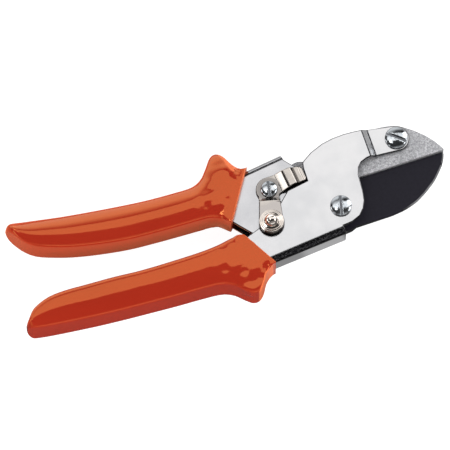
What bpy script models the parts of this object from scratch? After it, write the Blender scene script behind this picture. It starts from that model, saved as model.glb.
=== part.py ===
# Anvil pruning shears, lying on their back: two pressed steel levers that cross at a pivot,
# an exchangeable blade that closes on a cast anvil, dipped grips, a bent-sheet latch and a return spring.
# Metres. The pivot's axis is the Z axis, +X runs to the cutting tip and +Z to the latch side.
# Z is 0 at the end of the pivot screw, which is flush with its nut.
import math

import bmesh
import bpy
from mathutils import Vector

# Clearances
CLEAR = 0.0003
EDGE_GAP = 0.0003
HOLE_CLEAR = 0.0003

# Anvil lever: outer channel of pressed sheet, web on the -Y side
SHEET = 0.0015
ANVIL_CHANNEL_W = 0.0144
BEND_R = 0.0033
JOGGLE_DEPTH = 0.0022
JOGGLE_START_X = 0.0210
JOGGLE_END_X = 0.0236
TAB_R = 0.0062

# Blade lever: inner channel, web on the +Y side
LEVER_SHEET = 0.0015
LEVER_BEND_R = 0.0034
LEVER_HUB_R = 0.0088
WASHER_T = 0.0004
WASHER_R = 0.0075

# Blade, anvil and what carries them
BLADE_T = 0.0030
BLADE_TIP_X = 0.0540
BLADE_HEEL_R = 0.0106
BLADE_BEVEL_H = 0.0050
BLADE_EDGE_LAND = 0.0004
BLADE_BEVEL_START_X = 0.0150
BEVEL_OVERRUN = 0.0020
ANVIL_FACE_Y = 0.0123
ANVIL_EDGE_BEVEL = 0.0005
RIVET_X = -0.0195
RIVET_Y = 0.0075
RIVET_R = 0.0025
SPACER_R = 0.0080
TANG_LOW_Y = 0.0042
TANG_END_X = -0.0412
TANG_CHAMFER = 0.0014
SHANK_LOBE_R = 0.0062
SHANK_LOBE_X = -0.0119
SHANK_LOBE_Y = 0.0226
SHANK_FOOT = 0.0075
TANG_TOP_SLOPE = 0.0030
NECK_RUN = 0.0085

# Pivot
PIVOT_SHANK_R = 0.0030
PIVOT_HEAD_R = 0.0050
PIVOT_HEAD_H = 0.0021
PIVOT_NUT_R = 0.0056
PIVOT_NUT_H = 0.0022
BUSH_WALL = 0.0011

# Anvil screw
ANVIL_SCREW_X = 0.0352
ANVIL_SCREW_Y = 0.0241
ANVIL_SCREW_R = 0.0024
ANVIL_HEAD_R = 0.0053
ANVIL_HEAD_H = 0.0021
ANVIL_NUT_R = 0.0052
ANVIL_NUT_H = 0.0020
DOME_SHARE = 0.72
SLOT_W = 0.0014
SLOT_DEPTH = 0.0011
PIVOT_SLOT_TURN = 77
ANVIL_SLOT_TURN = -42
LATCH_SLOT_TURN = 79

# Latch
LATCH_X = -0.0287
LATCH_Y = 0.0185
LATCH_SHEET = 0.0012
LATCH_HUB_R = 0.0061
LATCH_RISE = 0.0009
THUMB_RISE = 0.0008
LATCH_LUG_REACH = 0.0021
LATCH_SCREW_R = 0.0020
LATCH_HEAD_R = 0.0039
LATCH_HEAD_H = 0.0018
LATCH_NUT_R = 0.0042
LATCH_NUT_H = 0.0018
KNOB_X = -0.0330
KNOB_Y = 0.0014
KNOB_PAD_R = 0.0061
KNOB_R = 0.0057
KNOB_H = 0.0046
KNOB_SHANK_R = 0.0015
# Knob outline: share of its radius, share of its height down from the top
KNOB_SHAPE = [
    (0.24, 0.02), (0.42, 0.08), (0.53, 0.18), (0.58, 0.32), (0.56, 0.46), (0.66, 0.50), (0.68, 0.59),
    (0.77, 0.61), (0.79, 0.70), (0.89, 0.72), (0.91, 0.80), (1.00, 0.82),
]
# Folds of the latch's sheet, from its own axis
THUMB_FOLD = [(-0.0061, -0.0035), (0.0031, -0.0046)]
THUMB_STEP = [(-0.0067, -0.0058), (0.0030, -0.0071)]
HOOK_FOLD = [(0.0052, -0.0031), (0.0060, 0.0056)]
HOOK_RISE = [(0.0089, -0.0027), (0.0097, 0.0063)]
LATCH_LUG = [(0.0096, -0.0026), (0.0124, -0.0021)]
HOOK_DROP = [(0.0144, -0.0018), (0.0150, 0.0064)]
HOOK_END = [(0.0177, -0.0012), (0.0180, -0.0006), (0.0175, 0.0052), (0.0168, 0.0058)]

# Grips
GRIP_WALL = 0.0013
UPPER_GRIP_WALL = 0.0038
GRIP_CORNER_R = 0.0042
GRIP_CROWN = 0.0007

# Return spring
SPRING_X = -0.0360
SPRING_WIRE = 0.0008
SPRING_RADIUS = 0.0024
SPRING_TURNS = 11
SPRING_POINTS_PER_TURN = 9
SPUR_HALF_W = 0.0008
SPUR_L = 0.0026
STUD_R = 0.0016
STUD_L = 0.0026
STUD_FLANGE_R = 0.0030
STUD_FLANGE_H = 0.0005

# Roundness of turned pieces
TURN_STEPS = 40
BEND_STEPS = 5

# Heights that follow from the sizes above
BACK_Z = PIVOT_NUT_H + CLEAR
MID_Z = BACK_Z + ANVIL_CHANNEL_W / 2
FRONT_Z = BACK_Z + ANVIL_CHANNEL_W
WASHER_STACK = WASHER_T + 2 * CLEAR
LEVER_CHANNEL_W = ANVIL_CHANNEL_W - 2 * SHEET - 2 * WASHER_STACK
LEVER_FRONT_Z = MID_Z + LEVER_CHANNEL_W / 2
LEVER_INNER = LEVER_CHANNEL_W / 2 - LEVER_SHEET
TAB_HALF = ANVIL_CHANNEL_W / 2 - JOGGLE_DEPTH
ANVIL_T = 2 * (TAB_HALF - SHEET - CLEAR)
BUSH_R = PIVOT_SHANK_R + HOLE_CLEAR + BUSH_WALL

# Length of the handles behind the horns, now and as the outlines below were drawn
HANDLE_START_X = -0.0700
HANDLE_LENGTH = 0.0836
HANDLE_DRAWN = 0.0836


def handle(points):
    """Drawn points with all that lies behind the horns stretched to the handles' length."""
    share = HANDLE_LENGTH / HANDLE_DRAWN
    start = HANDLE_START_X
    return [(x if x > start else start + (x - start) * share, y) for x, y in points]


# Web of the anvil lever, its outer face from the front end to the tail
ANVIL_WEB = handle([
    (-0.0016, -0.0126), (-0.0450, -0.0164), (-0.0620, -0.0163),
    (-0.0900, -0.0148), (-0.1200, -0.0130), (-0.1380, -0.0114),
])
# Free edge of its cheeks: from the tail along the top, round the latch notch, over the nose to the joggle
NOTCH_FLOOR_END = (-0.0107, 0.0167)
NOTCH_FLOOR_START = (-0.0209, 0.0150)
CHEEK_TOP = handle([
    (-0.1380, -0.0032), (-0.1220, -0.0018), (-0.0940, -0.0030), (-0.0600, -0.0026), (-0.0470, -0.0009),
    (-0.0392, 0.0018), (-0.0268, 0.0095), NOTCH_FLOOR_START, NOTCH_FLOOR_END,
    (-0.0106, 0.0231), (-0.0101, 0.0257), (-0.0090, 0.0267), (-0.0047, 0.0294), (0.0015, 0.0318),
    (0.0069, 0.0328), (0.0121, 0.0331), (0.0170, 0.0329),
])
JOGGLE_TOP_Y = 0.0325
JOGGLE_LOW_Y = 0.0188
CHEEK_FRONT = [
    (0.0188, 0.0185), (0.0159, 0.0174), (0.0138, 0.0152), (0.0128, 0.0125), (0.0125, 0.0090),
    (0.0121, 0.0040), (0.0112, -0.0008), (0.0095, -0.0043), (0.0068, -0.0072), (0.0025, -0.0089),
]
# Web of the blade lever, its outer face from the front end to the tail
LEVER_WEB = handle([
    (-0.0180, 0.0340), (-0.0400, 0.0311), (-0.0600, 0.0283),
    (-0.0840, 0.0283), (-0.1040, 0.0305), (-0.1240, 0.0333), (-0.1360, 0.0357),
])
# Free edge of its walls, from the tail along the inner side to the hub, and from the hub to the front corner
LEVER_LOW = handle([
    (-0.1340, 0.0265), (-0.1230, 0.0224), (-0.1100, 0.0196), (-0.0960, 0.0178), (-0.0840, 0.0170),
    (-0.0700, 0.0164), (-0.0580, 0.0157), (-0.0535, 0.0134), (-0.0491, 0.0088), (-0.0428, 0.0013),
    (-0.0360, -0.0035), (-0.0200, -0.0078),
])
LEVER_NOSE = [(-0.0040, 0.0110), (-0.0100, 0.0190), (-0.0140, 0.0263)]
# Back of the blade, from the tip to where it meets the heel's arc
BLADE_BACK = [
    (0.0541, 0.0112), (0.0528, 0.0074), (0.0506, 0.0041), (0.0456, -0.0006), (0.0398, -0.0041),
    (0.0338, -0.0068), (0.0272, -0.0084), (0.0206, -0.0091), (0.0130, -0.0094),
]
# Top of the anvil, from the tip back to the cheeks
ANVIL_TOP = [
    (0.0545, 0.0128), (0.0539, 0.0143), (0.0517, 0.0180), (0.0488, 0.0216), (0.0446, 0.0257),
    (0.0402, 0.0291), (0.0363, 0.0310), (0.0320, 0.0319), (0.0245, 0.0326), (0.0222, 0.0320),
    (0.0200, 0.0230), (0.0125, 0.0160),
]

# Grips: pairs of a point on the upper and on the lower outline, from the mouth to the tail
LOWER_GRIP = [
    ((-0.0474, 0.0006), (-0.0374, -0.0172)), ((-0.0495, 0.0012), (-0.0402, -0.0182)),
    ((-0.0525, 0.0011), (-0.0432, -0.0208)), ((-0.0555, 0.0006), (-0.0458, -0.0250)),
    ((-0.0585, 0.0000), (-0.0486, -0.0274)), ((-0.0613, -0.0004), (-0.0518, -0.0273)),
    ((-0.0640, -0.0006), (-0.0550, -0.0247)), ((-0.0670, -0.0007), (-0.0586, -0.0213)),
    ((-0.0705, -0.0009), (-0.0635, -0.0190)), ((-0.0760, -0.0009), (-0.0715, -0.0182)),
    ((-0.0860, -0.0009), (-0.0850, -0.0177)), ((-0.0980, -0.0006), (-0.0980, -0.0170)),
    ((-0.1100, 0.0003), (-0.1100, -0.0163)), ((-0.1225, 0.0008), (-0.1220, -0.0154)),
    ((-0.1340, 0.0012), (-0.1330, -0.0143)), ((-0.1420, 0.0004), (-0.1420, -0.0133)),
    ((-0.1495, -0.0028), (-0.1490, -0.0123)), ((-0.1536, -0.0070), (-0.1533, -0.0113)),
]
UPPER_GRIP = [
    ((-0.0353, 0.0325), (-0.0510, 0.0074)), ((-0.0384, 0.0328), (-0.0526, 0.0096)),
    ((-0.0410, 0.0352), (-0.0543, 0.0116)), ((-0.0436, 0.0399), (-0.0559, 0.0127)),
    ((-0.0466, 0.0421), (-0.0576, 0.0133)), ((-0.0498, 0.0410), (-0.0596, 0.0136)),
    ((-0.0532, 0.0366), (-0.0616, 0.0138)), ((-0.0570, 0.0324), (-0.0640, 0.0139)),
    ((-0.0620, 0.0302), (-0.0675, 0.0140)), ((-0.0705, 0.0301), (-0.0735, 0.0142)),
    ((-0.0840, 0.0306), (-0.0840, 0.0146)), ((-0.0970, 0.0319), (-0.0970, 0.0154)),
    ((-0.1100, 0.0336), (-0.1100, 0.0173)), ((-0.1230, 0.0357), (-0.1220, 0.0198)),
    ((-0.1340, 0.0379), (-0.1315, 0.0227)), ((-0.1415, 0.0394), (-0.1400, 0.0263)),
    ((-0.1455, 0.0407), (-0.1445, 0.0304)), ((-0.1480, 0.0410), (-0.1472, 0.0344)),
]
TAIL_SECTIONS = 3
TAIL_THICKNESS = (0.98, 0.92)
TAIL_LENGTH = 0.0022
TAIL_ROOM = 0.0020
MOUTH_REACH = 0.0120


def start_scene():
    for obj in list(bpy.data.objects):
        bpy.data.objects.remove(obj, do_unlink=True)
    parts = bpy.data.collections.new("anvil_pruning_shears")
    cutters = bpy.data.collections.new("cutters")
    bpy.context.scene.collection.children.link(parts)
    bpy.context.scene.collection.children.link(cutters)
    return parts, cutters


PARTS, CUTTERS = start_scene()


def finish_material(name, colour, roughness, metallic):
    mat = bpy.data.materials.new(name)
    mat.use_nodes = True
    shader = mat.node_tree.nodes["Principled BSDF"]
    shader.inputs["Base Color"].default_value = (*colour, 1.0)
    shader.inputs["Roughness"].default_value = roughness
    shader.inputs["Metallic"].default_value = metallic
    return mat


STEEL = finish_material("polished_steel", (0.83, 0.83, 0.85), 0.22, 1.0)
ZINC = finish_material("zinc_plate", (0.72, 0.74, 0.76), 0.25, 1.0)
NICKEL = finish_material("nickel_plate", (0.78, 0.72, 0.66), 0.15, 1.0)
COATING = finish_material("black_coating", (0.020, 0.019, 0.024), 0.55, 0.0)
CASTING = finish_material("blasted_casting", (0.35, 0.35, 0.36), 0.60, 0.8)
BRONZE = finish_material("bush_bronze", (0.60, 0.42, 0.22), 0.35, 1.0)
SPRING_STEEL = finish_material("spring_steel", (0.45, 0.45, 0.47), 0.30, 1.0)
VINYL = finish_material("orange_vinyl", (0.72, 0.12, 0.03), 0.20, 0.0)


def place(name, mesh, mat, location=(0, 0, 0)):
    obj = bpy.data.objects.new(name, mesh)
    obj.location = location
    mesh.materials.clear()
    mesh.materials.append(mat)
    PARTS.objects.link(obj)
    return obj


def as_cutter(obj):
    for collection in list(obj.users_collection):
        collection.objects.unlink(obj)
    CUTTERS.objects.link(obj)
    obj.hide_render = True
    obj.display_type = "WIRE"
    return obj


def cut(obj, cutter, operation="DIFFERENCE"):
    boolean = obj.modifiers.new("cut_" + cutter.name, "BOOLEAN")
    boolean.operation = operation
    boolean.solver = "EXACT"
    boolean.object = cutter


def plate(name, outline, low, high, mat, location=(0, 0)):
    """A flat outline from z low to z high, closed and welded."""
    curve = bpy.data.curves.new(name, "CURVE")
    curve.dimensions = "2D"
    curve.fill_mode = "BOTH"
    curve.extrude = (high - low) / 2
    spline = curve.splines.new("POLY")
    spline.points.add(len(outline) - 1)
    for point, (x, y) in zip(spline.points, outline):
        point.co = (x, y, 0, 1)
    spline.use_cyclic_u = True
    flat = bpy.data.objects.new(name + "_outline", curve)
    PARTS.objects.link(flat)
    bpy.context.view_layer.update()
    depsgraph = bpy.context.evaluated_depsgraph_get()
    mesh = bpy.data.meshes.new_from_object(flat.evaluated_get(depsgraph))
    bpy.data.objects.remove(flat, do_unlink=True)
    bm = bmesh.new()
    bm.from_mesh(mesh)
    bmesh.ops.remove_doubles(bm, verts=bm.verts, dist=0.00001)
    bmesh.ops.recalc_face_normals(bm, faces=bm.faces)
    bm.to_mesh(mesh)
    bm.free()
    return place(name, mesh, mat, (location[0], location[1], (low + high) / 2))


def turned(name, profile, mat, centre=(0, 0), steps=TURN_STEPS):
    """A turned piece: profile points (radius, z) run from the top, down the outer side."""
    mesh = bpy.data.meshes.new(name)
    edges = [(i, i + 1) for i in range(len(profile) - 1)]
    if profile[0][0] > 0:
        edges.append((len(profile) - 1, 0))
    mesh.from_pydata([(r, 0, z) for r, z in profile], edges, [])
    obj = place(name, mesh, mat, (centre[0], centre[1], 0))
    screw = obj.modifiers.new("turn", "SCREW")
    screw.steps = steps
    screw.render_steps = steps
    screw.use_merge_vertices = True
    screw.merge_threshold = 0.00001
    return obj


def ring(name, inner, outer, low, high, mat, centre=(0, 0)):
    return turned(name, [(inner, high), (outer, high), (outer, low), (inner, low)], mat, centre)


def hole(obj, name, radius, centre, low, high, steps=TURN_STEPS):
    cutter = turned(name, [(0, high), (radius, high), (radius, low), (0, low)], ZINC, centre, steps)
    cut(obj, as_cutter(cutter))


def box_cutter(name, size, centre, turn=0.0):
    mesh = bpy.data.meshes.new(name)
    bm = bmesh.new()
    bmesh.ops.create_cube(bm, size=1.0)
    bmesh.ops.scale(bm, vec=size, verts=bm.verts)
    bm.to_mesh(mesh)
    bm.free()
    obj = place(name, mesh, ZINC, centre)
    obj.rotation_euler = (0, 0, turn)
    return as_cutter(obj)


def arc(centre, radius, start, end, count):
    """Points on an arc from start to end, in degrees, both ends included."""
    points = []
    for i in range(count):
        angle = math.radians(start + (end - start) * i / (count - 1))
        points.append((centre[0] + radius * math.cos(angle), centre[1] + radius * math.sin(angle)))
    return points


def outward_normals(chain, side):
    """Unit normals at the points of a chain, on the side given as +1 (left of travel) or -1."""
    normals = []
    for i, point in enumerate(chain):
        before = Vector(chain[max(i - 1, 0)])
        after = Vector(chain[min(i + 1, len(chain) - 1)])
        along = (after - before).normalized()
        normals.append(Vector((-along.y, along.x)) * side)
    return normals


def channel(name, web, free_edge, width, sheet, bend_r, side, mat, tab=None):
    """A pressed channel: cheek outlines, a rounded bend along the web, mirrored about the middle plane."""
    bm = bmesh.new()
    half = width / 2
    normals = outward_normals(web, side)
    rows = []
    for step in range(BEND_STEPS + 1):
        angle = math.pi / 2 * step / BEND_STEPS
        row = []
        for point, normal in zip(web, normals):
            base = Vector(point) - normal * bend_r * (1 - math.sin(angle))
            z = half - bend_r * (1 - math.cos(angle))
            row.append(bm.verts.new((base.x, base.y, z)))
        rows.append(row)
    middle = []
    for vert in rows[-1]:
        middle.append(bm.verts.new((vert.co.x, vert.co.y, 0)))
    rows.append(middle)
    for upper, lower in zip(rows, rows[1:]):
        for i in range(len(web) - 1):
            bm.faces.new((upper[i], upper[i + 1], lower[i + 1], lower[i]))
    edge = [bm.verts.new((x, y, half)) for x, y in free_edge]
    bm.faces.new(rows[0] + edge)
    if tab:
        add_joggled_tab(bm, edge, half, tab)
    bmesh.ops.recalc_face_normals(bm, faces=bm.faces)
    if max(bm.faces, key=lambda face: face.calc_area()).normal.z < 0:
        bmesh.ops.reverse_faces(bm, faces=bm.faces)
    mesh = bpy.data.meshes.new(name)
    bm.to_mesh(mesh)
    bm.free()
    obj = place(name, mesh, mat, (0, 0, MID_Z))
    mirror = obj.modifiers.new("other_cheek", "MIRROR")
    mirror.use_axis = (False, False, True)
    mirror.merge_threshold = 0.00001
    thickness = obj.modifiers.new("sheet", "SOLIDIFY")
    thickness.thickness = sheet
    thickness.offset = -1
    thickness.use_even_offset = True
    return obj


def add_joggled_tab(bm, edge, half, tab):
    """Step the sheet inwards past two points of the free edge and carry on as a round-ended tab."""
    first, last, step_points, outline = tab
    level = half - JOGGLE_DEPTH
    near = [bm.verts.new((x, y, level)) for x, y in step_points]
    bm.faces.new((edge[first], near[0], near[1], edge[last]))
    rest = [bm.verts.new((x, y, level)) for x, y in outline]
    bm.faces.new([near[1], near[0]] + rest)


def anvil_lever():
    joggle = [(JOGGLE_START_X, JOGGLE_TOP_Y), (JOGGLE_START_X, JOGGLE_LOW_Y)]
    free_edge = CHEEK_TOP + joggle + CHEEK_FRONT
    first = len(CHEEK_TOP)
    screw = (ANVIL_SCREW_X, ANVIL_SCREW_Y)
    tab_outline = arc(screw, TAB_R, 80, -86, 15)
    step_points = [(JOGGLE_END_X, JOGGLE_TOP_Y - 0.0001), (JOGGLE_END_X, JOGGLE_LOW_Y)]
    tab = (first, first + 1, step_points, tab_outline)
    lever = channel("anvil_lever", ANVIL_WEB, free_edge, ANVIL_CHANNEL_W, SHEET, BEND_R, 1, STEEL, tab)
    through = 2 * ANVIL_CHANNEL_W
    low, high = MID_Z - through, MID_Z + through
    hole(lever, "anvil_lever_pivot_hole", PIVOT_SHANK_R + HOLE_CLEAR, (0, 0), low, high)
    hole(lever, "anvil_lever_tab_hole", ANVIL_SCREW_R + HOLE_CLEAR, screw, low, high)
    return lever


def blade_lever():
    hub = arc((0, 0), LEVER_HUB_R, -118, 85, 17)
    free_edge = LEVER_LOW + hub + LEVER_NOSE
    width = LEVER_CHANNEL_W
    lever = channel("blade_lever", LEVER_WEB, free_edge, width, LEVER_SHEET, LEVER_BEND_R, -1, STEEL)
    through = 2 * LEVER_CHANNEL_W
    hole(lever, "blade_lever_pivot_hole", BUSH_R + HOLE_CLEAR, (0, 0), MID_Z - through, MID_Z + through)
    rivet = (RIVET_X, RIVET_Y)
    hole(lever, "blade_lever_rivet_hole", RIVET_R + HOLE_CLEAR, rivet, MID_Z - through, MID_Z + through)
    latch = (LATCH_X, LATCH_Y)
    hole(lever, "blade_lever_latch_hole", LATCH_SCREW_R + HOLE_CLEAR, latch, MID_Z, MID_Z + through)
    return lever


def blade():
    edge_y = ANVIL_FACE_Y - EDGE_GAP
    heel = arc((0, 0), BLADE_HEEL_R, -66, -172, 12)
    spur = [
        (SPRING_X + SPUR_HALF_W, TANG_LOW_Y), (SPRING_X + SPUR_HALF_W, TANG_LOW_Y - SPUR_L),
        (SPRING_X - SPUR_HALF_W, TANG_LOW_Y - SPUR_L), (SPRING_X - SPUR_HALF_W, TANG_LOW_Y),
    ]
    neck = [(RIVET_X - NECK_RUN, TANG_LOW_Y)]
    tang = [(TANG_END_X + TANG_CHAMFER, TANG_LOW_Y), (TANG_END_X, TANG_LOW_Y + TANG_CHAMFER)]
    tang += [(TANG_END_X, edge_y - TANG_TOP_SLOPE), (TANG_END_X + TANG_CHAMFER, edge_y)]
    left = SHANK_LOBE_X - SHANK_FOOT
    right = SHANK_LOBE_X + SHANK_FOOT
    waist_y = edge_y + SHANK_LOBE_R / 2
    lobe = [(left - SHANK_LOBE_R / 4, edge_y), (left, waist_y)]
    lobe += arc((SHANK_LOBE_X, SHANK_LOBE_Y), SHANK_LOBE_R, 172, 8, 13)
    lobe += [(right, waist_y), (right + SHANK_LOBE_R, edge_y)]
    outline = [(BLADE_TIP_X, edge_y)] + BLADE_BACK + heel + neck + spur + tang + lobe
    body = plate("blade", outline, MID_Z - BLADE_T / 2, MID_Z + BLADE_T / 2, COATING)
    deep = BLADE_T - BLADE_EDGE_LAND
    over = BEVEL_OVERRUN
    wedge = [
        (0, 0), (-deep, 0), (-deep, over), (over, over),
        (over, -BLADE_BEVEL_H * (1 + over / BLADE_T)), (0, -BLADE_BEVEL_H),
    ]
    bevel = plate("blade_bevel", wedge, 0, BLADE_TIP_X, ZINC)
    bevel.rotation_euler = (0, math.pi / 2, 0)
    bevel.location = (BLADE_BEVEL_START_X + BLADE_TIP_X / 2, edge_y, MID_Z - BLADE_T / 2)
    cut(body, as_cutter(bevel))
    reach = BLADE_T
    hole(body, "blade_pivot_hole", BUSH_R + HOLE_CLEAR, (0, 0), MID_Z - reach, MID_Z + reach)
    hole(body, "blade_rivet_hole", RIVET_R + HOLE_CLEAR, (RIVET_X, RIVET_Y), MID_Z - reach, MID_Z + reach)
    return body


def anvil():
    outline = [(0.0125, ANVIL_FACE_Y), (BLADE_TIP_X + 0.0002, ANVIL_FACE_Y)] + ANVIL_TOP
    body = plate("anvil", outline, MID_Z - ANVIL_T / 2, MID_Z + ANVIL_T / 2, CASTING)
    bevel = body.modifiers.new("edge", "BEVEL")
    bevel.width = ANVIL_EDGE_BEVEL
    bevel.segments = 2
    bevel.limit_method = "ANGLE"
    bevel.angle_limit = math.radians(50)
    screw = (ANVIL_SCREW_X, ANVIL_SCREW_Y)
    reach = ANVIL_T
    hole(body, "anvil_screw_hole", ANVIL_SCREW_R + HOLE_CLEAR, screw, MID_Z - reach, MID_Z + reach)
    return body


def domed_screw(name, centre, head_r, head_h, shank_r, seat_z, end_z, slot_turn, mat):
    """A slotted screw with a shallow domed head on its seat and a plain shank down to end_z."""
    top = seat_z + CLEAR + head_h
    profile = [(0, top)]
    for i in range(1, 6):
        angle = math.pi / 2 * i / 5
        profile.append((head_r * math.sin(angle), top - head_h * DOME_SHARE * (1 - math.cos(angle))))
    profile += [(head_r, seat_z + CLEAR), (shank_r, seat_z + CLEAR), (shank_r, end_z), (0, end_z)]
    screw = turned(name, profile, mat, centre)
    size = (3 * head_r, SLOT_W, 2 * SLOT_DEPTH)
    cut(screw, box_cutter(name + "_slot", size, (centre[0], centre[1], top), slot_turn))
    return screw


def hex_nut(name, centre, radius, hole_r, low, high, mat):
    """A hexagon nut, its bore clear of the screw."""
    nut = plate(name, arc((0, 0), radius, 30, 330, 6), low, high, mat, centre)
    reach = high - low
    hole(nut, name + "_bore", hole_r + HOLE_CLEAR, centre, low - reach, high + reach)
    return nut


def pivot():
    domed_screw("pivot_screw", (0, 0), PIVOT_HEAD_R, PIVOT_HEAD_H, PIVOT_SHANK_R, FRONT_Z, 0,
                math.radians(PIVOT_SLOT_TURN), ZINC)
    hex_nut("pivot_nut", (0, 0), PIVOT_NUT_R, PIVOT_SHANK_R, 0, PIVOT_NUT_H, ZINC)
    half = LEVER_CHANNEL_W / 2
    ring("pivot_bush", PIVOT_SHANK_R + HOLE_CLEAR, BUSH_R, MID_Z - half, MID_Z + half, BRONZE)
    inner = PIVOT_SHANK_R + HOLE_CLEAR
    low = half + CLEAR
    ring("pivot_washer_front", inner, WASHER_R, MID_Z + low, MID_Z + low + WASHER_T, ZINC)
    ring("pivot_washer_rear", inner, WASHER_R, MID_Z - low - WASHER_T, MID_Z - low, ZINC)


def blade_mounting():
    near = BLADE_T / 2 + CLEAR
    far = LEVER_INNER - CLEAR
    inner = BUSH_R + HOLE_CLEAR
    ring("blade_spacer_front", inner, SPACER_R, MID_Z + near, MID_Z + far, ZINC)
    ring("blade_spacer_rear", inner, SPACER_R, MID_Z - far, MID_Z - near, ZINC)
    half = LEVER_CHANNEL_W / 2
    profile = [(0, MID_Z + half), (RIVET_R, MID_Z + half), (RIVET_R, MID_Z - half), (0, MID_Z - half)]
    turned("blade_rivet", profile, ZINC, (RIVET_X, RIVET_Y), 28)


def anvil_mounting():
    centre = (ANVIL_SCREW_X, ANVIL_SCREW_Y)
    seat = MID_Z + TAB_HALF
    back = MID_Z - TAB_HALF
    end = back - CLEAR - ANVIL_NUT_H
    domed_screw("anvil_screw", centre, ANVIL_HEAD_R, ANVIL_HEAD_H, ANVIL_SCREW_R, seat, end,
                math.radians(ANVIL_SLOT_TURN), ZINC)
    hex_nut("anvil_nut", centre, ANVIL_NUT_R, ANVIL_SCREW_R, end, end + ANVIL_NUT_H, ZINC)


def latch():
    """Bent sheet: a hub on the blade lever, a thumb arm over the cheek and a hook arm over its notch."""
    hub_z = LEVER_FRONT_Z + CLEAR + LATCH_SHEET
    low_z = FRONT_Z + CLEAR + LATCH_SHEET
    thumb_z = low_z + THUMB_RISE
    top_z = low_z + LATCH_RISE
    bm = bmesh.new()

    def row(points, z):
        return [bm.verts.new((LATCH_X + x, LATCH_Y + y, z)) for x, y in points]

    hub_left = row(arc((0, 0), LATCH_HUB_R, 98, 200, 10), hub_z)
    thumb_fold = row(THUMB_FOLD, hub_z)
    hook_fold = row(HOOK_FOLD, hub_z)
    bm.faces.new(hub_left + thumb_fold + hook_fold)
    thumb_step = row(THUMB_STEP, thumb_z)
    bm.faces.new([thumb_fold[0], thumb_step[0], thumb_step[1], thumb_fold[1]])
    knob = (KNOB_X - LATCH_X, KNOB_Y - LATCH_Y)
    pad = row(arc(knob, KNOB_PAD_R, 180, 370, 17), thumb_z)
    bm.faces.new([thumb_step[0]] + pad + [thumb_step[1]])
    hook_rise = row(HOOK_RISE, top_z)
    bm.faces.new([hook_fold[0], hook_rise[0], hook_rise[1], hook_fold[1]])
    lug_top = row(LATCH_LUG, top_z)
    hook_drop = row(HOOK_DROP, top_z)
    bm.faces.new([hook_rise[0], lug_top[0], lug_top[1], hook_drop[0], hook_drop[1], hook_rise[1]])
    hook_end = row(HOOK_END, low_z)
    bm.faces.new([hook_drop[0]] + hook_end + [hook_drop[1]])
    lug_low = row(LATCH_LUG, FRONT_Z - LATCH_LUG_REACH)
    bm.faces.new([lug_top[1], lug_top[0], lug_low[0], lug_low[1]])
    bmesh.ops.recalc_face_normals(bm, faces=bm.faces)
    if max(bm.faces, key=lambda face: face.calc_area()).normal.z < 0:
        bmesh.ops.reverse_faces(bm, faces=bm.faces)
    bmesh.ops.translate(bm, vec=(-LATCH_X, -LATCH_Y, 0), verts=bm.verts)
    mesh = bpy.data.meshes.new("latch")
    bm.to_mesh(mesh)
    bm.free()
    obj = place("latch", mesh, NICKEL, (LATCH_X, LATCH_Y, 0))
    thickness = obj.modifiers.new("sheet", "SOLIDIFY")
    thickness.thickness = LATCH_SHEET
    thickness.offset = -1
    thickness.use_even_offset = True
    reach = 2 * LATCH_SHEET
    centre = (LATCH_X, LATCH_Y)
    hole(obj, "latch_screw_hole", LATCH_SCREW_R + HOLE_CLEAR, centre, hub_z - reach, hub_z + reach)
    knob_at = (KNOB_X, KNOB_Y)
    hole(obj, "latch_knob_hole", KNOB_SHANK_R + HOLE_CLEAR, knob_at, thumb_z - reach, thumb_z + reach, 24)
    return obj


def latch_fittings():
    centre = (LATCH_X, LATCH_Y)
    hub_z = LEVER_FRONT_Z + CLEAR + LATCH_SHEET
    nut_high = MID_Z + LEVER_INNER - CLEAR
    nut_low = nut_high - LATCH_NUT_H
    domed_screw("latch_screw", centre, LATCH_HEAD_R, LATCH_HEAD_H, LATCH_SCREW_R, hub_z, nut_low,
                math.radians(LATCH_SLOT_TURN), ZINC)
    hex_nut("latch_nut", centre, LATCH_NUT_R, LATCH_SCREW_R, nut_low, nut_high, ZINC)
    seat = FRONT_Z + CLEAR + LATCH_SHEET + THUMB_RISE + CLEAR
    top = seat + KNOB_H
    profile = [(0, top)] + [(KNOB_R * out, top - KNOB_H * down) for out, down in KNOB_SHAPE]
    profile += [(KNOB_R, seat), (KNOB_SHANK_R, seat), (KNOB_SHANK_R, seat - CLEAR - LATCH_SHEET)]
    profile += [(0, seat - CLEAR - LATCH_SHEET)]
    turned("latch_knob", profile, NICKEL, (KNOB_X, KNOB_Y))


def rounded_section(top, bottom, half_t):
    """Points of a rounded section between two outline points, crowned on its two faces."""
    top = Vector(top)
    bottom = Vector(bottom)
    centre = (top + bottom) / 2
    half_h = (top - bottom).length / 2
    across = (top - bottom).normalized()
    corner = min(GRIP_CORNER_R, 0.8 * half_h, 0.8 * half_t)
    points = []
    for quadrant in range(4):
        for step in range(5):
            angle = math.pi / 2 * (quadrant + step / 4)
            sign_h = 1 if quadrant in (0, 3) else -1
            sign_t = 1 if quadrant in (0, 1) else -1
            along = sign_h * (half_h - corner) + corner * math.cos(angle)
            depth = sign_t * (half_t - corner) + corner * math.sin(angle)
            points.append((along, depth))
        if quadrant == 0:
            points.append((0, half_t + GRIP_CROWN))
        if quadrant == 2:
            points.append((0, -half_t - GRIP_CROWN))
    placed = []
    for along, depth in points:
        spot = centre + across * along
        placed.append((spot.x, spot.y, depth))
    return placed


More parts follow.
